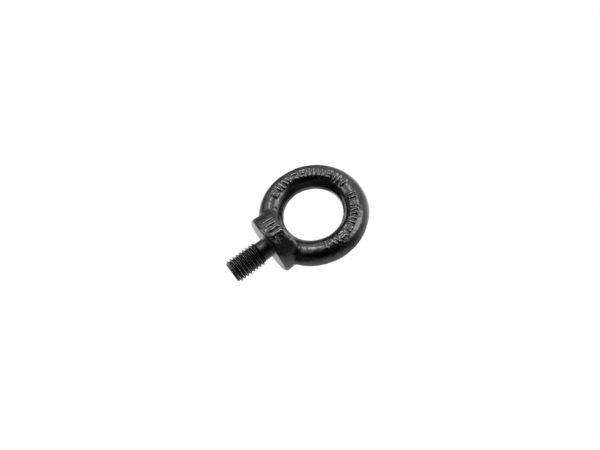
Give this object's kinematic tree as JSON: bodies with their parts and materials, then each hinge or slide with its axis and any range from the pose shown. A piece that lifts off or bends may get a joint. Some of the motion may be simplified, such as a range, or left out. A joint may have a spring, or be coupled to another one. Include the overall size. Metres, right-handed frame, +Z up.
{
  "type": "lifting eye bolt",
  "caption": "Forged steel lifting eye bolt: round eye on a round seating collar, with a threaded stud for a tapped hole.",
  "frame": {"origin": "centre of the collar's underside, the face that seats on the load, on the stud's axis", "axes": "+Z up the stud's axis to the eye; the eye lies in the XZ plane, so its hole runs along Y and its marked face looks along -Y"},
  "size_m": [0.045, 0.0253, 0.0624],
  "materials": {
    "forged_black": "blackened drop-forged skin, semi-gloss",
    "machined_black": "turned and blackened, satin",
    "thread_black": "cut thread, blackened and oiled"
  },
  "bodies": {
    "root": {"eye_ring": "forged_black", "saddle": "forged_black", "collar": "machined_black", "neck": "machined_black", "threaded_stud": "thread_black", "upper_ring_marks": "forged_black", "side_ring_marks": "forged_black", "saddle_marks": "forged_black"}
  },
  "joints": []
}
